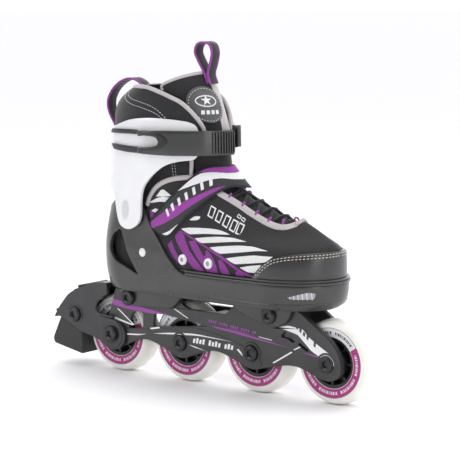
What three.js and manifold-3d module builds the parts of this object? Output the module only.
// A size-adjustable inline skate: four wheels on a bolted frame with a heel brake, a plastic
// shell and cuff, a sliding toe box with a fabric upper, a padded liner, a strap and a buckle.
// Millimetres, +X to the toe, +Y to the inner side of the foot, +Z up.
import * as THREE from "three";
import { mergeVertices } from "three/addons/utils/BufferGeometryUtils.js";
import Module from "manifold-3d";

const wasm = await Module();
wasm.setup();

// ---------------------------------------------------------------- driving dimensions
const clearance = 0.3; // between pieces that touch
const runningGap = 0.6; // between pieces that slide or turn past each other

const wheelDiameter = 70;
const tyreWidth = 20.8;
const tyreCrownFlat = 3; // width of the flat on the tyre's running line
const wheelGap = 6; // between one tyre and the next
const wheelCount = 4;
const drawnWheel = 70; // the wheel that the outlines below are drawn round
const hubRadius = 20.7;
const hubWidth = 23.4;
const rimWidth = 18.4;
const bearingRadius = 11;
const bearingWidth = 7;
const axleRadius = 3.9;
const boltHeadRadius = 7;
const boltHeadHeight = 3.2;
const socketRadius = 3; // hexagon socket in each bolt head

const plateThickness = 3.6;
const drawnFrameHeight = 76.4; // top of the frame with that wheel, where the shell rests
const mountBoltRadius = 3;
const lugThickness = 4.6;
const brakeCheek = 3.2;
const padReach = 185; // back of the brake pad, from the middle of the wheelbase

const soleGap = 0.6; // between the frame and the underside of the shell
const shellWall = 2.8;
const trayHeight = 98.2; // rim that the toe slider runs on
const sliderPlate = 3.6;
const upperWall = 2.6;
const toeCapWall = 1.5;
const footbedThickness = 3;
const linerWall = 4.4;
const cuffWall = 2.8;
const drawnCuffWall = 2.8; // the wall that the cuff's outline below is drawn round
const collarWall = 7;
const tongueThickness = 5;
const strapThickness = 2.4;
const leverThickness = 3.2;
const buckleHeight = 20;
const webbingThickness = 1.4;
const webbingWidth = 10;
const laceRadius = 1.3;
const rivetRadius = 4;

const roundSides = 12; // sides of a small round piece

const wheelRadius = wheelDiameter / 2;
const wheelPitch = wheelDiameter + wheelGap;
const rise = wheelDiameter - drawnWheel; // lifts the boot above taller wheels
const axleRise = rise / 2;
const frameHeight = drawnFrameHeight + rise;
const soleHeight = drawnFrameHeight + soleGap; // underside of the shell, before the boot is lifted
const tyreHalf = tyreWidth / 2;
const plateInner = hubWidth / 2 + runningGap;
const plateOuter = plateInner + plateThickness;
const firstAxle = -((wheelCount - 1) * wheelPitch) / 2;
const lastAxle = -firstAxle;
const lugInner = plateOuter + clearance;
const lugOuter = lugInner + lugThickness;
const brakeInner = plateOuter + clearance;
const brakeOuter = brakeInner + brakeCheek;
const drawnAxle = 114; // half the drawn wheelbase
const rearStretch = firstAxle + drawnAxle; // keeps the tail with the rear axle

const pivot = { x: -80, z: 148 }; // cuff hinge
const flexForward = 8; // degrees the cuff leans forward
const flexBack = 4;
const heelBolt = { x: -92, z: 69.6 }; // in the boot's heights
const frontBolt = { x: firstAxle + 2 * wheelPitch + 22, z: 69.5 }; // clear of the third tyre
const padBolt = { x: -157 + rearStretch, z: 48 + axleRise };

// ---------------------------------------------------------------- solids
function solid(geometry) {
  const bare = geometry.index ? geometry.toNonIndexed() : geometry.clone();
  bare.deleteAttribute("normal");
  bare.deleteAttribute("uv");
  const merged = mergeVertices(bare, 1e-4);
  return new wasm.Manifold(
    new wasm.Mesh({
      numProp: 3,
      vertProperties: new Float32Array(merged.attributes.position.array),
      triVerts: new Uint32Array(merged.index.array),
    }),
  );
}

function geometryOf(body) {
  const mesh = body.getMesh();
  const geometry = new THREE.BufferGeometry();
  geometry.setAttribute("position", new THREE.BufferAttribute(mesh.vertProperties, 3));
  geometry.setIndex(new THREE.BufferAttribute(mesh.triVerts, 1));
  geometry.computeVertexNormals();
  return geometry;
}

const join = (first, ...others) => others.reduce((sum, next) => sum.add(next), first);
const cut = (first, ...others) => others.reduce((rest, next) => rest.subtract(next), first);
const keep = (first, ...others) => others.reduce((rest, next) => rest.intersect(next), first);

// A polygon whose corners [x, z, radius] are rounded with quadratic curves.
function rounded(corners) {
  const shape = new THREE.Shape();
  corners.forEach(([x, z, radius = 0], i) => {
    const here = new THREE.Vector2(x, z);
    const before = new THREE.Vector2(...corners.at(i - 1));
    const after = new THREE.Vector2(...corners[(i + 1) % corners.length]);
    const reach = (to) => Math.min(radius, here.distanceTo(to) * 0.45) / here.distanceTo(to);
    const start = here.clone().lerp(before, reach(before));
    const end = here.clone().lerp(after, reach(after));
    if (i === 0) shape.moveTo(start.x, start.y);
    else shape.lineTo(start.x, start.y);
    if (radius > 0) shape.quadraticCurveTo(x, z, end.x, end.y);
  });
  shape.closePath();
  return shape;
}

// Corners of the frame or the brake at their height round the real wheels.
const lifted = (corners) =>
  corners.map(([x, z, radius]) => [x, z < 60 ? z + axleRise : z + rise, radius]);

// A side-view outline (x, z) given thickness across the skate, from y = from to y = to.
function slab(shape, from, to, curveSegments = 4) {
  const geometry = new THREE.ExtrudeGeometry(shape, {
    depth: to - from,
    bevelEnabled: false,
    curveSegments,
  });
  geometry.rotateX(Math.PI / 2);
  geometry.translate(0, to, 0);
  return solid(geometry);
}

// A plan outline (x, y) given height.
function tablet(shape, bottom, top, curveSegments = 4) {
  const geometry = new THREE.ExtrudeGeometry(shape, {
    depth: top - bottom,
    bevelEnabled: false,
    curveSegments,
  });
  geometry.translate(0, 0, bottom);
  return solid(geometry);
}

function block(x, y, z) {
  const geometry = new THREE.BoxGeometry(x[1] - x[0], y[1] - y[0], z[1] - z[0]);
  geometry.translate((x[0] + x[1]) / 2, (y[0] + y[1]) / 2, (z[0] + z[1]) / 2);
  return solid(geometry);
}

// A turned piece about the Y axis: its profile [radius, y] closes on itself.
function turned(profile, segments) {
  const points = profile.map(([radius, y]) => new THREE.Vector2(radius, y));
  points.push(points[0].clone());
  return solid(new THREE.LatheGeometry(points, segments));
}

function rod(radius, from, to, segments = roundSides, x = 0, z = 0) {
  const geometry = new THREE.CylinderGeometry(radius, radius, to - from, segments);
  geometry.translate(x, (from + to) / 2, z);
  return solid(geometry);
}

// A hexagon-socket bolt across the skate, its head facing the outer side, -Y.
function bolt(radius, headFace, tip) {
  const seat = headFace + boltHeadHeight;
  const head = rod(boltHeadRadius, headFace, seat, 16);
  const shank = rod(radius, seat - 0.5, tip, 10);
  const socket = rod(socketRadius, headFace - 1, headFace + boltHeadHeight * 0.6, 6);
  return cut(join(head, shank), socket);
}

// ---------------------------------------------------------------- the boot's outer surface
// Each level is a plan outline: half an ellipse round the heel, a blend along the side, and a
// front whose corner goes from round (full = 2) to almost straight (full near 1.3) at the instep.
const bootLevels = [
  { z: 77, rear: -117, heelLength: 30, heelWidth: 29, front: 109, toeLength: 48, toeWidth: 35, full: 2 },
  { z: 81, rear: -120, heelLength: 31, heelWidth: 31.5, front: 115, toeLength: 52, toeWidth: 39.5, full: 2 },
  { z: 90, rear: -122.5, heelLength: 32, heelWidth: 33, front: 117.5, toeLength: 54.5, toeWidth: 41.5, full: 2 },
  { z: 99, rear: -123.6, heelLength: 32, heelWidth: 33.8, front: 118, toeLength: 55, toeWidth: 42, full: 2 },
  { z: 113, rear: -124, heelLength: 32.5, heelWidth: 34, front: 118, toeLength: 55, toeWidth: 41.5, full: 2 },
  { z: 122, rear: -123.6, heelLength: 33, heelWidth: 33.6, front: 118, toeLength: 57, toeWidth: 40, full: 2 },
  { z: 128, rear: -123, heelLength: 34, heelWidth: 33.3, front: 116, toeLength: 73, toeWidth: 37.8, full: 1.78 },
  { z: 136, rear: -121.5, heelLength: 35, heelWidth: 33.1, front: 104.5, toeLength: 100, toeWidth: 35.5, full: 1.52 },
  { z: 147, rear: -119, heelLength: 36, heelWidth: 33, front: 83.5, toeLength: 104, toeWidth: 34, full: 1.38 },
  { z: 158, rear: -117, heelLength: 38, heelWidth: 33.2, front: 56, toeLength: 94, toeWidth: 33.6, full: 1.36 },
  { z: 169, rear: -116, heelLength: 42, heelWidth: 34, front: 28.5, toeLength: 76, toeWidth: 33.8, full: 1.45 },
  { z: 180, rear: -115, heelLength: 48, heelWidth: 35, front: 13, toeLength: 66, toeWidth: 34.6, full: 1.7 },
  { z: 190, rear: -114.5, heelLength: 52, heelWidth: 36.5, front: 3.5, toeLength: 60, toeWidth: 36, full: 1.9 },
  { z: 206, rear: -114, heelLength: 56, heelWidth: 37.6, front: 0.5, toeLength: 58, toeWidth: 37.6, full: 2 },
];
// The cuff's outer surface, a loop that is rounder and wider than the shell inside it. A thicker
// wall grows outwards, so the cuff keeps its gap round the shell.
const cuffGrowth = cuffWall - drawnCuffWall;
const cuffLevels = [
  { z: 128, rear: -121, heelLength: 38, heelWidth: 36.6, front: 6, toeLength: 60, toeWidth: 37.5, full: 2 },
  { z: 150, rear: -119.5, heelLength: 39, heelWidth: 36.8, front: 5, toeLength: 60, toeWidth: 38, full: 2 },
  { z: 175, rear: -118.3, heelLength: 50, heelWidth: 38.6, front: 4, toeLength: 60, toeWidth: 39.2, full: 2 },
  { z: 190, rear: -118, heelLength: 58, heelWidth: 40.4, front: 3.5, toeLength: 60.5, toeWidth: 40.4, full: 2 },
  { z: 206, rear: -117.5, heelLength: 60.5, heelWidth: 41, front: 3.5, toeLength: 60.5, toeWidth: 41, full: 2 },
  { z: 228, rear: -116.5, heelLength: 60, heelWidth: 41, front: 3, toeLength: 60, toeWidth: 41, full: 2 },
  { z: 256, rear: -110, heelLength: 55, heelWidth: 38.5, front: -1, toeLength: 54, toeWidth: 38.5, full: 2 },
].map((level) => ({
  ...level,
  rear: level.rear - cuffGrowth,
  heelLength: level.heelLength + cuffGrowth,
  heelWidth: level.heelWidth + cuffGrowth,
  front: level.front + cuffGrowth,
  toeLength: level.toeLength + cuffGrowth,
  toeWidth: level.toeWidth + cuffGrowth,
}));

function levelAt(levels, z) {
  const upper = levels.findIndex((level) => level.z >= z);
  if (upper <= 0) return upper === 0 ? levels[0] : levels.at(-1);
  const [low, high] = [levels[upper - 1], levels[upper]];
  const share = (z - low.z) / (high.z - low.z);
  return Object.fromEntries(
    Object.keys(low).map((key) => [key, low[key] + share * (high[key] - low[key])]),
  );
}

// One closed ring of points at height z, moved inwards by inset.
function ring(levels, z, inset, steps = 5) {
  const level = levelAt(levels, z);
  const heelLength = level.heelLength - inset;
  const heelWidth = level.heelWidth - inset;
  const toeLength = level.toeLength - inset;
  const toeWidth = level.toeWidth - inset;
  const heelX = level.rear + level.heelLength;
  const toeX = level.front - level.toeLength;
  const half = [];
  for (let i = 0; i < steps; i++) {
    const angle = (Math.PI / 2) * (i / steps);
    half.push([heelX - heelLength * Math.cos(angle), heelWidth * Math.sin(angle)]);
  }
  for (let i = 0; i < 3; i++) {
    const share = i / 3;
    half.push([heelX + share * (toeX - heelX), heelWidth + share * (toeWidth - heelWidth)]);
  }
  for (let i = 0; i <= steps; i++) {
    const angle = (Math.PI / 2) * (i / steps);
    const power = 2 / level.full;
    const along = Math.sin(angle) ** power;
    const across = Math.cos(angle) ** power;
    half.push([toeX + toeLength * along, i === steps ? 0 : toeWidth * across]);
  }
  const back = half.slice(1, -1).reverse();
  return [...half, ...back.map(([x, y]) => [x, -y])].map(([x, y]) => new THREE.Vector3(x, y, z));
}

// The widest half-width of the boot's form within reach of a point in the side view.
function halfWidth(levels, at, reach) {
  const widths = [];
  for (const rise of [-reach, 0, reach]) {
    const points = ring(levels, at.z + rise, 0, 24);
    for (const x of [at.x - reach, at.x, at.x + reach]) {
      points.forEach((point, i) => {
        const next = points[(i + 1) % points.length];
        const share = (x - point.x) / (next.x - point.x);
        if (share >= 0 && share <= 1) widths.push(point.y + share * (next.y - point.y));
      });
    }
  }
  return Math.max(...widths);
}

// A closed solid through rings of equal point counts, capped at both ends.
function loft(rings) {
  const count = rings[0].length;
  const points = rings.flat();
  const faces = [];
  for (let level = 0; level + 1 < rings.length; level++) {
    for (let i = 0; i < count; i++) {
      const a = level * count + i;
      const b = level * count + ((i + 1) % count);
      faces.push(a, a + count, b, b, a + count, b + count);
    }
  }
  [0, rings.length - 1].forEach((level) => {
    const middle = new THREE.Vector3();
    rings[level].forEach((point) => middle.addScaledVector(point, 1 / count));
    points.push(middle);
    for (let i = 0; i < count; i++) {
      const a = level * count + i;
      const b = level * count + ((i + 1) % count);
      faces.push(...(level === 0 ? [a, b, points.length - 1] : [b, a, points.length - 1]));
    }
  });
  const geometry = new THREE.BufferGeometry().setFromPoints(points);
  geometry.setIndex(faces);
  const body = solid(geometry);
  if (body.volume() > 0) return body;
  geometry.setIndex(faces.toReversed());
  return solid(geometry);
}

// The boot's form from one height to another, moved inwards by inset.
function form(levels, bottom, top, inset, steps) {
  const heights = levels.map((level) => level.z).filter((z) => z > bottom + 1 && z < top - 1);
  return loft([bottom, ...heights, top].map((z) => ring(levels, z, inset, steps)));
}

// A skin of even thickness that follows the boot's form.
function skin(levels, bottom, top, inset, wall, steps) {
  const inner = form(levels, bottom - 1, top + 1, inset + wall, steps);
  return cut(form(levels, bottom, top, inset, steps), inner);
}

// ---------------------------------------------------------------- scene graph
const skate = new THREE.Group();
const bootGroup = new THREE.Group();
bootGroup.position.z = rise;
skate.add(bootGroup);
let assembly = skate; // the group that the next pieces go into
const colours = {
  whiteTyre: [0xf3f1ea, 0.35, 0],
  blackPlastic: [0x1b1b1c, 0.45, 0],
  greyPlastic: [0x55524f, 0.5, 0],
  framePlastic: [0x4c4b4c, 0.45, 0],
  steel: [0xb9bcc0, 0.3, 1],
  blackSteel: [0x202021, 0.35, 0.6],
  rubber: [0x232323, 0.9, 0],
  fabric: [0x26262a, 0.95, 0],
  leather: [0x1a1a1b, 0.35, 0],
  whitePlastic: [0xf6f6f7, 0.25, 0],
  purpleFabric: [0x9a4a9c, 0.8, 0],
  silver: [0xc9c9cc, 0.4, 0.8],
};

function add(name, body, colour) {
  const [color, roughness, metalness] = colours[colour];
  const material = new THREE.MeshStandardMaterial({ color, roughness, metalness });
  const mesh = new THREE.Mesh(geometryOf(body), material);
  mesh.name = name;
  assembly.add(mesh);
  return mesh;
}

// ---------------------------------------------------------------- wheels
const tyre = turned(
  [
    [hubRadius + clearance, -tyreHalf + 0.9],
    [28, -tyreHalf],
    [wheelRadius - 3.4, -tyreHalf + 2.2],
    [wheelRadius - 1, -tyreHalf + 5.6],
    [wheelRadius, -tyreCrownFlat / 2],
    [wheelRadius, tyreCrownFlat / 2],
    [wheelRadius - 1, tyreHalf - 5.6],
    [wheelRadius - 3.4, tyreHalf - 2.2],
    [28, tyreHalf],
    [hubRadius + clearance, tyreHalf - 0.9],
  ],
  20,
);
const bearingInner = hubWidth / 2 - bearingWidth;
const hub = turned(
  [
    [bearingRadius - 1.6, -bearingInner + clearance],
    [bearingRadius + 0.2, -bearingInner + clearance],
    [bearingRadius + 0.2, -hubWidth / 2],
    [bearingRadius + 2.4, -hubWidth / 2],
    [bearingRadius + 3.4, -rimWidth / 3],
    [hubRadius - 2.8, -rimWidth / 3],
    [hubRadius - 2.8, -rimWidth / 2],
    [hubRadius, -rimWidth / 2],
    [hubRadius, rimWidth / 2],
    [hubRadius - 2.8, rimWidth / 2],
    [hubRadius - 2.8, rimWidth / 3],
    [bearingRadius + 3.4, rimWidth / 3],
    [bearingRadius + 2.4, hubWidth / 2],
    [bearingRadius + 0.2, hubWidth / 2],
    [bearingRadius + 0.2, bearingInner - clearance],
    [bearingRadius - 1.6, bearingInner - clearance],
  ],
  roundSides,
);
const bearing = turned(
  [
    [axleRadius + clearance, -bearingWidth / 2],
    [bearingRadius, -bearingWidth / 2],
    [bearingRadius, bearingWidth / 2],
    [axleRadius + clearance, bearingWidth / 2],
  ],
  roundSides,
);
const spacerHalf = bearingInner - clearance;
const spacer = turned(
  [
    [axleRadius + clearance, -spacerHalf],
    [axleRadius + 2.2, -spacerHalf],
    [axleRadius + 2.2, spacerHalf],
    [axleRadius + clearance, spacerHalf],
  ],
  12,
);
const bearingCentre = hubWidth / 2 - bearingWidth / 2;

for (let i = 0; i < wheelCount; i++) {
  const number = i + 1;
  const x = firstAxle + i * wheelPitch;
  const z = wheelRadius;
  const last = i === 0 ? brakeOuter : plateOuter;
  const axle = bolt(axleRadius, -last - clearance - boltHeadHeight, last + 1.5);
  const pieces = [
    add(`tyre_${number}`, tyre, "whiteTyre"),
    add(`hub_${number}`, hub, "blackPlastic"),
    add(`bearing_outer_${number}`, bearing.translate(0, -bearingCentre, 0), "steel"),
    add(`bearing_inner_${number}`, bearing.translate(0, bearingCentre, 0), "steel"),
    add(`spacer_${number}`, spacer, "steel"),
    add(`axle_${number}`, axle, "blackSteel"),
  ];
  pieces.forEach((piece) => piece.position.set(x, 0, z));
}

// ---------------------------------------------------------------- frame
const front = lastAxle - drawnAxle; // keeps the nose with the front axle
const middle = lastAxle / drawnAxle; // spreads the waists between the wheels
const sideOutline = rounded(lifted([
  [-111 + rearStretch, drawnFrameHeight, 2],
  [-116 + rearStretch, 60, 8],
  [-122 + rearStretch, 46, 5],
  [-127 + rearStretch, 36, 8],
  [-123 + rearStretch, 24, 8],
  [-108 + rearStretch, 22, 8],
  [-79 * middle, 36, 22],
  [-52 * middle, 27, 8],
  [-38 * middle, 20.5, 12],
  [-23 * middle, 26, 8],
  [0, 34, 22],
  [24 * middle, 26, 8],
  [38 * middle, 20.5, 12],
  [53 * middle, 24.5, 8],
  [82 * middle, 31, 22],
  [104 + front, 23, 8],
  [117 + front, 20, 9],
  [129 + front, 27, 10],
  [128 + front, 41, 8],
  [120 + front, 53, 6],
  [88, 74.5, 4],
  [82, drawnFrameHeight, 2],
  [24, drawnFrameHeight, 3],
  [15, 65, 8],
  [-34, 65, 8],
  [-41, drawnFrameHeight, 3],
]));
const frameWindows = [
  [[-97, 41, 3], [-80, 43.5, 2], [-80, 57.5, 2], [-93, 57, 8]],
  [[-68, 46.5, 3], [-20, 52, 3], [-9, 52.5, 1.5], [-17, 54, 4], [-66, 58.5, 3]],
  [[68, 52, 3], [72, 57.5, 3], [78, 57, 4], [85, 50, 3], [80, 48.5, 2], [76, 51.5, 3]],
  [[87, 50, 1.5], [97, 44.5, 1.5], [95.5, 42.5, 1.5], [86, 47.5, 1.5]],
].map((corners) => rounded(lifted(corners.map(([x, z, radius]) => [x * middle, z, radius]))));
const axleHoles = Array.from({ length: wheelCount }, (_, i) =>
  rod(axleRadius + clearance, -30, 30, 12, firstAxle + i * wheelPitch, wheelRadius),
);
const mountHoles = [heelBolt, frontBolt].map(({ x, z }) =>
  rod(mountBoltRadius + clearance, -30, 30, 12, x, z),
);
const frameMountHoles = mountHoles.map((hole) => hole.translate(0, 0, rise));

function sidePlate(from, to) {
  const raw = slab(sideOutline, from, to, 2);
  return cut(raw, ...frameWindows.map((shape) => slab(shape, from - 1, to + 1, 2)));
}
const bridgeHeight = frameHeight - 3.2;
const wellHeight = wheelDiameter + 2;
const bridgeHalf = plateInner + 1;
const bridges = [
  block([-108 + rearStretch, -42], [-bridgeHalf, bridgeHalf], [bridgeHeight, frameHeight]),
  block([26, 83], [-bridgeHalf, bridgeHalf], [bridgeHeight, frameHeight]),
  block([-8, 8], [-bridgeHalf, bridgeHalf], [58, 63].map((z) => z + rise)),
  block([-82, -70].map((x) => x * middle), [-bridgeHalf, bridgeHalf], [62 + rise, wellHeight]),
  block([72, 80].map((x) => x * middle), [-bridgeHalf, bridgeHalf], [62 + rise, bridgeHeight + 1]),
];
const frameBody = cut(
  join(sidePlate(-plateOuter, -plateInner), sidePlate(plateInner, plateOuter), ...bridges),
  ...axleHoles,
  ...frameMountHoles,
);
add("frame", frameBody, "framePlastic");

// ---------------------------------------------------------------- heel brake
const brakeOutline = rounded(lifted([
  [-150 + rearStretch, 33, 2],
  [-128 + rearStretch, 28, 6],
  [-119 + rearStretch, 21, 6],
  [-106 + rearStretch, 21, 8],
  [-98 + rearStretch, 30, 9],
  [-99 + rearStretch, 42, 8],
  [-112 + rearStretch, 48, 4],
  [-129 + rearStretch, 49.5, 5],
  [-133 + rearStretch, 57, 5],
  [-129 + rearStretch, 64.5, 6],
  [-118 + rearStretch, 69.5, 4],
  [-119 + rearStretch, 79.6, 2],
  [-130 + rearStretch, 79.4, 6],
  [-154 + rearStretch, 72, 6],
  [-166 + rearStretch, 65, 4],
  [-177 + rearStretch, 52.5, 4],
  [-183 + rearStretch, 43, 1.5],
  [-176 + rearStretch, 44.2, 1],
]));
const wheelRoom = rod(wheelRadius + 2.4, -plateInner, plateInner, 24, firstAxle, wheelRadius);
const frameRoom = block(
  [-127.6 + rearStretch, 0],
  [-brakeInner, brakeInner],
  [0, frameHeight + clearance],
);
const tangHalf = 8;
const tangFrom = -166 + rearStretch;
const tangTo = -150.5 + rearStretch;
const tangTop = 56 + axleRise;
const pocket = block(
  [tangFrom - clearance, tangTo + 30],
  [-tangHalf - clearance, tangHalf + clearance],
  [10, tangTop + clearance],
);
const padBoltHole = rod(mountBoltRadius + clearance, -30, 30, 12, padBolt.x, padBolt.z);
const brakeBody = cut(
  slab(brakeOutline, -brakeOuter, brakeOuter, 2),
  wheelRoom,
  frameRoom,
  pocket,
  padBoltHole,
  axleHoles[0],
);
add("brake_arm", brakeBody, "blackPlastic");

const padOutline = rounded(lifted([
  [-175 + rearStretch, 43.4, 1],
  [-padReach + rearStretch, 23.5, 2],
  [-183 + rearStretch, 19.2, 2],
  [-148.8 + rearStretch, 12.6, 1],
  [-149.6 + rearStretch, 32.3, 1],
]));
const padBody = cut(
  join(
    slab(padOutline, -brakeOuter, brakeOuter, 2),
    block([tangFrom, tangTo], [-tangHalf, tangHalf], [30 + axleRise, tangTop]),
  ),
  rod(wheelRadius + 1.6, -30, 30, 24, firstAxle, wheelRadius),
  padBoltHole,
);
add("brake_pad", padBody, "rubber");

function crossBolt(name, at, reach) {
  const body = bolt(mountBoltRadius, -reach - clearance - boltHeadHeight, reach + 2.5);
  add(name, body, "blackSteel").position.set(at.x, 0, at.z);
}
crossBolt("brake_pad_bolt", padBolt, brakeOuter);
assembly = bootGroup;
crossBolt("heel_mount_bolt", heelBolt, lugOuter);
crossBolt("front_mount_bolt", frontBolt, lugOuter);

// ---------------------------------------------------------------- outer shell
const shellTop = 162;
const shellSide = rounded([
  [-132, soleHeight - 5],
  [-132, 143, 2],
  [-112, 148, 10],
  [-96, 157, 8],
  [-88, shellTop, 8],
  [-71, shellTop, 8],
  [-61, 147, 8],
  [-56, 137, 8],
  [-34, 110, 12],
  [-20, trayHeight, 8],
  [125, trayHeight],
  [125, soleHeight - 5],
]);
const heelWindow = rounded([
  [-89, 132, 3],
  [-99, 126, 4],
  [-104.5, 114, 6],
  [-96, 103.5, 5],
  [-69, 93, 1],
  [-81, 111, 6],
]);
const heelLug = rounded([
  [-102, soleHeight + 3],
  [-98, 64, 6],
  [-88, 62.5, 6],
  [-64, 63.5, 6],
  [-43, 64.5, 6],
  [-34, 74, 4],
  [-28, soleHeight + 3],
]);
const frontLug = rounded([
  [22, soleHeight + 3],
  [27, 69, 4],
  [50, 62.5, 6],
  [66, 59.5, 8],
  [80, 67, 8],
  [82.5, soleHeight + 3],
]);
const ventRegion = (grow) => {
  const shape = rounded([
    [88 - grow, 89, 1.5],
    [104, 93.6 + grow, 1.5],
    [109 + grow, 92.5 + grow, 1.5],
    [107.5 + grow, 87 - grow, 1.5],
    [92, 87.2 - grow, 1.5],
  ]);
  return shape;
};
const bothSides = (shape, near, far, segments) =>
  join(slab(shape, near, far, segments), slab(shape, -far, -near, segments));
const shellInner = form(bootLevels, soleHeight + shellWall, shellTop + 10, shellWall);
const lugs = [heelLug, frontLug].map((shape) => bothSides(shape, lugInner, lugOuter, 2));
const tray = cut(
  keep(form(bootLevels, soleHeight, shellTop + 9, 0), slab(shellSide, -60, 60, 2)),
  slab(heelWindow, -60, 60, 2),
  bothSides(ventRegion(0), 15, 60, 2),
);
const pivotHole = rod(rivetRadius + runningGap, -60, 60, roundSides, pivot.x, pivot.z);
const anchorRivet = { x: -63.5, z: 113 };
const anchorHole = rod(2 + clearance, -60, 60, 12, anchorRivet.x, anchorRivet.z);
const shellBody = cut(join(tray, ...lugs), shellInner, pivotHole, anchorHole, ...mountHoles);
add("outer_shell", shellBody, "greyPlastic");

const ventSkin = skin(bootLevels, 82, 97, clearance, shellWall - 2 * clearance);
const ventBody = keep(ventSkin, bothSides(ventRegion(-clearance), 15, 60, 2));
const outerHalfSpace = block([-200, 200], [-80, 0], [-10, 400]);
const innerHalfSpace = block([-200, 200], [0, 80], [-10, 400]);
add("toe_vent_outer", keep(ventBody, outerHalfSpace), "silver");
add("toe_vent_inner", keep(ventBody, innerHalfSpace), "silver");

// A flat rivet across one wall: its head stands on the outside of the piece.
function wallRivet(radius, headRadius, surface, depth, at, side) {
  const head = rod(headRadius, surface + clearance, surface + clearance + 1.2, 14, at.x, at.z);
  const shank = rod(radius, surface - depth, surface + clearance + 0.5, 10, at.x, at.z);
  const body = join(head, shank);
  return side < 0 ? body.mirror([0, 1, 0]) : body;
}
const anchorSurface = halfWidth(bootLevels, anchorRivet, 3.6);
const shellRivet = (side) => wallRivet(2, 3.6, anchorSurface, shellWall, anchorRivet, side);
add("shell_rivet_outer", shellRivet(-1), "whitePlastic");
add("shell_rivet_inner", shellRivet(1), "whitePlastic");

// ---------------------------------------------------------------- toe slider, upper, toe cap
const sliderBottom = trayHeight + 0.4;
const sliderTop = sliderBottom + sliderPlate;
const upperInset = shellWall + runningGap;
const sliderRear = -42;
const sliderInner = keep(
  form(bootLevels, sliderBottom, sliderTop, upperInset),
  block([sliderRear, -13], [-60, 60], [0, 300]),
);
const sliderRim = keep(
  form(bootLevels, sliderBottom, sliderTop, -0.9),
  block([-14, 130], [-60, 60], [0, 300]),
);
const sliderRail = block([-38, 46], [-22, 22], [soleHeight + shellWall + runningGap, sliderBottom + 1]);
add("toe_slider", join(sliderInner, sliderRim, sliderRail), "greyPlastic");

const upperBottom = sliderTop + clearance;
const upperSide = rounded([
  [-62, upperBottom - 2],
  [-63, 150, 6],
  [-50, 172, 14],
  [-24, 179.5, 10],
  [-9, 180.5, 1],
  [-4, 190],
  [130, 190],
  [130, upperBottom - 2],
]);
const throat = (grow) =>
  rounded([
    [-40, -19 - grow],
    [10, -18.5 - grow, 10],
    [58, -15.5 - grow, 14],
    [80, -9 - grow, 8],
    [84 + grow, 0, 6],
    [80, 9 + grow, 8],
    [58, 15.5 + grow, 14],
    [10, 18.5 + grow, 10],
    [-40, 19 + grow],
  ]);
const upperBody = cut(
  keep(skin(bootLevels, upperBottom, 188, upperInset, upperWall), slab(upperSide, -60, 60, 2)),
  tablet(throat(0), 128, 200, 2),
);
add("upper", upperBody, "fabric");

const toeCapSide = rounded([
  [56, upperBottom - 2],
  [57, upperBottom + 1, 1],
  [64, 112, 8],
  [76, 119.5, 8],
  [92, 122.4, 8],
  [130, 126.5],
  [130, upperBottom - 2],
]);
const toeCapBody = keep(
  skin(bootLevels, upperBottom, 127, upperInset - clearance - toeCapWall, toeCapWall),
  slab(toeCapSide, -60, 60, 2),
);
add("toe_cap", toeCapBody, "leather");

// ---------------------------------------------------------------- tongue, laces and lace loops
const tongueSkin = skin(bootLevels, 126, 188, upperInset + 1, tongueThickness);
const tongueLow = keep(
  tongueSkin,
  tablet(throat(-0.8), 100, 300, 2),
  block([-4, 100], [-40, 40], [129, 187]),
);
add("tongue_lower", tongueLow, "fabric");

// Height of the boot's ridge line above the toe, read from the levels.
function ridgeHeight(x) {
  const climb = bootLevels.filter((level) => level.z >= 122);
  const next = climb.findIndex((level) => level.front <= x);
  const [high, low] = [climb[next], climb[next - 1]];
  return low.z + ((low.front - x) / (low.front - high.front)) * (high.z - low.z);
}

// A tube of even radius along a curve through chosen points.
function tube(points, radius, steps, sides = 6) {
  const path = new THREE.CatmullRomCurve3(points.map((point) => new THREE.Vector3(...point)));
  const circle = new THREE.Shape().absarc(0, 0, radius, 0, 2 * Math.PI);
  return solid(
    new THREE.ExtrudeGeometry(circle, {
      extrudePath: path,
      steps,
      curveSegments: sides / 2,
      bevelEnabled: false,
    }),
  );
}
const laceRows = 6;
const laceFrom = 32;
const laceTo = 72;
const lacePoints = [];
for (let i = 0; i <= laceRows; i++) {
  const x = laceFrom + (i / laceRows) * (laceTo - laceFrom);
  const side = i % 2 === 0 ? -1 : 1;
  const reach = 11 - i * 0.7;
  lacePoints.push([x, side * reach, ridgeHeight(x) + 1.6 - reach * 0.36]);
  if (i < laceRows) {
    const half = x + (laceTo - laceFrom) / laceRows / 2;
    lacePoints.push([half, 0, ridgeHeight(half) + 0.6]);
  }
}
add("laces", tube(lacePoints, laceRadius, 36), "fabric");

// ---------------------------------------------------------------- footbed and liner
const heelBlockRear = -46;
const footbedBottom = sliderTop + runningGap;
const footbedInset = upperInset + upperWall + 1.6 + linerWall + runningGap;
add(
  "footbed",
  keep(
    form(bootLevels, footbedBottom, footbedBottom + footbedThickness, footbedInset),
    block([-130, 92], [-60, 60], [0, 300]),
  ),
  "fabric",
);

const linerInset = upperInset + upperWall + 1.6;
const split = 34; // radius round the cuff hinge at which the liner divides
const linerLimit = rounded([
  [-130, soleHeight + shellWall + runningGap],
  [heelBlockRear, soleHeight + shellWall + runningGap],
  [heelBlockRear, footbedBottom],
  [-5, footbedBottom],
  [-5, 168],
  [pivot.x, pivot.z],
  [-130, pivot.z],
]);
const splitDisc = (radius) => rod(radius, -70, 70, 20, pivot.x, pivot.z);
const linerCavity = form(bootLevels, footbedBottom - clearance, 215, linerInset + linerWall);
const linerForm = form(bootLevels, soleHeight + shellWall + runningGap, 214, linerInset);
const linerLow = cut(
  keep(linerForm, join(slab(linerLimit, -60, 60, 2), splitDisc(split))),
  linerCavity,
  block([-5, 200], [-60, 60], [0, 300]),
);
add("liner_lower", linerLow, "fabric");

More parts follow.
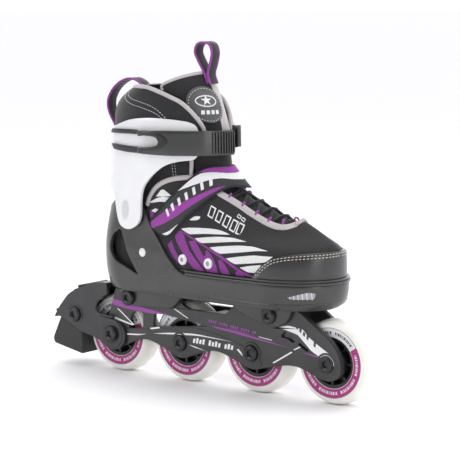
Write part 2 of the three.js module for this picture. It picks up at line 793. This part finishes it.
// ---------------------------------------------------------------- cuff
const cuffSide = rounded([
  [-130, 182, 2],
  [-104, 182, 8],
  [-91, 175, 8],
  [-89.5, 145, 8],
  [-86, 134, 9],
  [-76, 131, 9],
  [-63, 139, 9],
  [-61.5, 168, 10],
  [-52, 184, 12],
  [-24, 191.5, 12],
  [-5, 193.5, 1],
  [-6, 223, 2],
  [-28, 226.3, 10],
  [-55, 228, 12],
  [-80, 221, 10],
  [-130, 212],
]);
const cuffSkin = skin(cuffLevels, 128, 230, 0, cuffWall);
const pivotOuter = 37 + cuffGrowth;
const cuffBody = cut(keep(cuffSkin, slab(cuffSide, -60, 60, 2)), pivotHole);
add("cuff", cuffBody, "whitePlastic");
const pivotRivet = (side) => wallRivet(rivetRadius, 7.5, pivotOuter, 7, pivot, side);
add("cuff_rivet_outer", pivotRivet(-1), "whitePlastic");
add("cuff_rivet_inner", pivotRivet(1), "whitePlastic");

// The padded collar and the top of the tongue lean with the cuff, so they stop outside a
// cylinder round the hinge and behind a wedge that the lean can close.
const leanRoom = THREE.MathUtils.degToRad(30 + flexForward);
const backRoom = THREE.MathUtils.degToRad(flexBack + 3);
const collarFront = -17;
const collarLimit = rounded([
  [pivot.x, pivot.z],
  [-130, pivot.z + (pivot.x + 130) * Math.tan(backRoom)],
  [-130, 224],
  [-116, 240, 10],
  [-99, 252, 10],
  [-74, 254, 10],
  [-50, 252, 10],
  [-28, 243, 10],
  [collarFront, 230, 4],
  [collarFront, pivot.z + (collarFront - pivot.x) * Math.tan(leanRoom)],
]);
const collarInnerLevels = [165, 200, 228, 260].map((z) => ({
  ...levelAt(cuffLevels, z),
  z,
  rear: levelAt(cuffLevels, z).rear + cuffWall + runningGap + collarWall,
  heelLength: 50,
  heelWidth: 30.6,
  front: 1.2,
  toeLength: 58,
  toeWidth: 30.6,
}));
const upperReach = 192; // the collar keeps inside the upper below this height
const collarOuter = join(
  form(cuffLevels, upperReach, 258, cuffWall + runningGap),
  keep(
    form(cuffLevels, 150, upperReach + 1, cuffWall + runningGap),
    join(
      form(bootLevels, 150, upperReach + 1, linerInset),
      block([-140, -66], [-60, 60], [140, upperReach + 1]),
    ),
  ),
);
const collarBody = cut(
  keep(collarOuter, slab(collarLimit, -60, 60, 2)),
  form(collarInnerLevels, 140, 262, 0),
  splitDisc(split + runningGap),
);
add("liner_collar", collarBody, "fabric");

const tongueLevels = [
  { z: 196, rear: -110, heelLength: 50, heelWidth: 30, front: 0, toeLength: 57, toeWidth: 30, full: 2 },
  { z: 225, rear: -110, heelLength: 50, heelWidth: 30, front: -3, toeLength: 54, toeWidth: 30, full: 2 },
  { z: 245, rear: -112, heelLength: 50, heelWidth: 29, front: -11, toeLength: 50, toeWidth: 29, full: 2 },
  { z: 270, rear: -120, heelLength: 50, heelWidth: 27, front: -22, toeLength: 48, toeWidth: 27, full: 2 },
];
const tongueSide = rounded([
  [-44, 203],
  [-44, 257, 6],
  [-26, 266, 4],
  [10, 266],
  [10, 203],
]);
const tongueHigh = keep(
  skin(tongueLevels, 200, 268, 0, tongueThickness),
  slab(tongueSide, -60, 60, 2),
);
add("tongue_upper", tongueHigh, "fabric");

const badgeDisc = new THREE.CylinderGeometry(15, 15, 60, roundSides);
badgeDisc.rotateZ(THREE.MathUtils.degToRad(48));
badgeDisc.translate(4, -26, 240);
const badgeBody = keep(
  skin(tongueLevels, 222, 262, -clearance - 1.4, 1.4),
  solid(badgeDisc),
  outerHalfSpace,
);
add("tongue_badge", badgeBody, "leather");

// ---------------------------------------------------------------- pull loops
// A webbing loop whose centre line lies in the side view, and whose width runs across.
function webbingLoop(points, width) {
  const line = new THREE.CatmullRomCurve3(points.map(([x, z]) => new THREE.Vector3(x, z, 0)));
  const count = 18;
  const outer = [];
  const inner = [];
  for (let i = 0; i <= count; i++) {
    const at = line.getPointAt(i / count);
    const along = line.getTangentAt(i / count);
    const half = webbingThickness / 2;
    outer.push(new THREE.Vector2(at.x - along.y * half, at.y + along.x * half));
    inner.push(new THREE.Vector2(at.x + along.y * half, at.y - along.x * half));
  }
  return slab(new THREE.Shape([...outer, ...inner.toReversed()]), -width / 2, width / 2);
}
const frontLoopPath = [
  [-20.5, 267.5], [-22, 271], [-26.5, 277], [-28, 283], [-24.5, 288.5], [-18.5, 290],
  [-12.5, 288], [-10.5, 282], [-12.5, 273], [-14.5, 264], [-11.5, 256],
];
const rearLoopPath = [
  [-88, 255], [-93, 259.5], [-102, 261.5], [-113, 258.5], [-123, 251],
  [-129.5, 241], [-128.5, 231], [-123.5, 222],
];
add("tongue_pull_loop", webbingLoop(frontLoopPath, webbingWidth), "purpleFabric");
add("heel_pull_loop", webbingLoop(rearLoopPath, webbingWidth), "purpleFabric");

// ---------------------------------------------------------------- instep strap
const strapSide = rounded([
  [-55, 142, 3],
  [-47, 131, 4],
  [-36, 128.5, 5],
  [-27, 131, 3],
  [-10, 149, 8],
  [2, 161, 10],
  [29, 165, 1],
  [30, 180],
  [14, 200],
  [-14, 200],
  [-9, 187.5, 4],
  [-17, 176, 8],
  [-46, 152, 8],
]);
const strapInset = upperInset - clearance - strapThickness;
const strapBand = keep(
  skin(bootLevels, 126, 189, strapInset, strapThickness),
  slab(strapSide, -60, 60, 2),
);
// The free end on the outer side peels back about this fold across the band.
const foldTop = [-44.2, 164.8];
const foldFoot = [-19.8, 133.2];
const foldRoom = 3;
const beyondFold = (room) =>
  slab(
    rounded([
      [foldTop[0] - room, foldTop[1]],
      [foldFoot[0] - room, foldFoot[1]],
      [foldFoot[0] - room, 110],
      [-80, 110],
      [-80, foldTop[1]],
    ]),
    -60,
    0,
  );
add("instep_strap", cut(strapBand, beyondFold(-foldRoom)), "purpleFabric");
add("strap_end", keep(strapBand, beyondFold(foldRoom)), "purpleFabric");

// ---------------------------------------------------------------- buckle
const buckleBottom = 198.5;
const buckleTop = buckleBottom + buckleHeight;
const hingeX = -54;
const baseOffset = clearance;
const baseThickness = 2.2;
const leverOffset = baseOffset + baseThickness + runningGap;
const ladderOffset = baseOffset;
const knuckleRadius = 2.6;
const cuffHalf = levelAt(cuffLevels, 206).heelWidth; // at the buckle
const hingeY = -(cuffHalf + leverOffset + knuckleRadius);
const baseSide = rounded([
  [-94, buckleTop - 0.5, 2],
  [-44, buckleTop, 3],
  [-36, buckleTop - 6, 6],
  [-36, buckleBottom + 6, 6],
  [-44, buckleBottom, 3],
  [-92, buckleBottom + 1.5, 3],
  [-96, buckleBottom + 6.5, 2],
  [-60, buckleBottom + 5, 3],
  [-48, buckleBottom + 7, 5],
  [-48, buckleTop - 7, 5],
  [-60, buckleTop - 5, 3],
  [-96, buckleTop - 4, 1],
]);
const band = (offset, wall, bottom, top) => skin(cuffLevels, bottom, top, -offset - wall, wall);
const pinRadius = 1.2;
const upright = (radius, bottom, top, segments) => {
  const geometry = new THREE.CylinderGeometry(radius, radius, top - bottom, segments);
  geometry.rotateX(Math.PI / 2);
  geometry.translate(hingeX, hingeY, (bottom + top) / 2);
  return solid(geometry);
};
const knuckle = 4.5; // height of each hinge ear
const pinHole = upright(pinRadius + clearance, 100, 300, 12);
const ear = (bottom, top) =>
  join(
    upright(knuckleRadius, bottom, top, roundSides),
    block([hingeX - 2, hingeX + 2], [hingeY, -cuffHalf - baseOffset - 0.8], [bottom, top]),
  );
const ears = [
  ear(buckleBottom + 0.5, buckleBottom + knuckle),
  ear(buckleTop - knuckle, buckleTop - 0.5),
];
const baseBody = cut(
  join(
    keep(band(baseOffset, baseThickness, 190, 228), slab(baseSide, -60, 0, 2)),
    ...ears,
  ),
  pinHole,
);
add("buckle_base", baseBody, "greyPlastic");
add("buckle_hinge_pin", upright(pinRadius, buckleBottom, buckleTop, 12), "steel");

const leverSide = rounded([
  [-49.5, buckleBottom, 2],
  [20, buckleBottom, 2],
  [20, buckleTop, 2],
  [-49.5, buckleTop, 2],
]);
const leverEnd = block([-50, 20], [-80, -9], [100, 300]);
const leverArm = keep(
  band(leverOffset, leverThickness, 190, 228),
  slab(leverSide, -60, 0, 2),
  leverEnd,
);
const knuckleBottom = buckleBottom + knuckle + clearance;
const knuckleTop = buckleTop - knuckle - clearance;
const leverKnuckle = join(
  upright(knuckleRadius, knuckleBottom, knuckleTop, roundSides),
  block([hingeX, -47], [hingeY - 1.4, hingeY + 1.4], [knuckleBottom, knuckleTop]),
);
const gripRib = (angle) => {
  const geometry = new THREE.BoxGeometry(3, 1.1, buckleHeight - 2);
  geometry.rotateZ(angle);
  const reach = leverOffset + leverThickness + 0.5;
  geometry.translate(
    -57 + (60.5 + cuffGrowth + reach) * Math.cos(angle),
    (cuffHalf + reach) * Math.sin(angle),
    (buckleBottom + buckleTop) / 2,
  );
  return solid(geometry);
};
const ribs = Array.from({ length: 7 }, (_, i) => gripRib(THREE.MathUtils.degToRad(-50 + i * 5)));
add("buckle_lever", cut(join(leverArm, leverKnuckle, ...ribs), pinHole), "greyPlastic");

const ladderRivet = { x: -62, z: (buckleBottom + buckleTop) / 2 };
const ladderSide = rounded([
  [-72, buckleBottom + 3, 6],
  [30, buckleBottom + 3, 1],
  [30, buckleTop - 1, 1],
  [-72, buckleTop - 1, 6],
]);
const ladderBand = keep(
  band(ladderOffset, baseThickness, 190, 228),
  slab(ladderSide, -60, 60, 2),
  join(block([-80, 30], [0, 80], [0, 300]), block([-22, 30], [-80, 1], [0, 300])),
);
const ladderHole = rod(2 + clearance, 0, 60, 12, ladderRivet.x, ladderRivet.z);
add("ladder_strap", cut(ladderBand, ladderHole), "blackPlastic");
const ladderSurface = cuffHalf + ladderOffset + baseThickness;
add("ladder_strap_rivet", wallRivet(2, 4.5, ladderSurface, 2, ladderRivet, 1), "steel");

// ---------------------------------------------------------------- placing in the row's frame
const rearmost = -padReach + rearStretch;
const foremost = lastAxle + wheelRadius;
skate.position.set(-(rearmost + foremost) / 2, 0, 0);

export default skate;
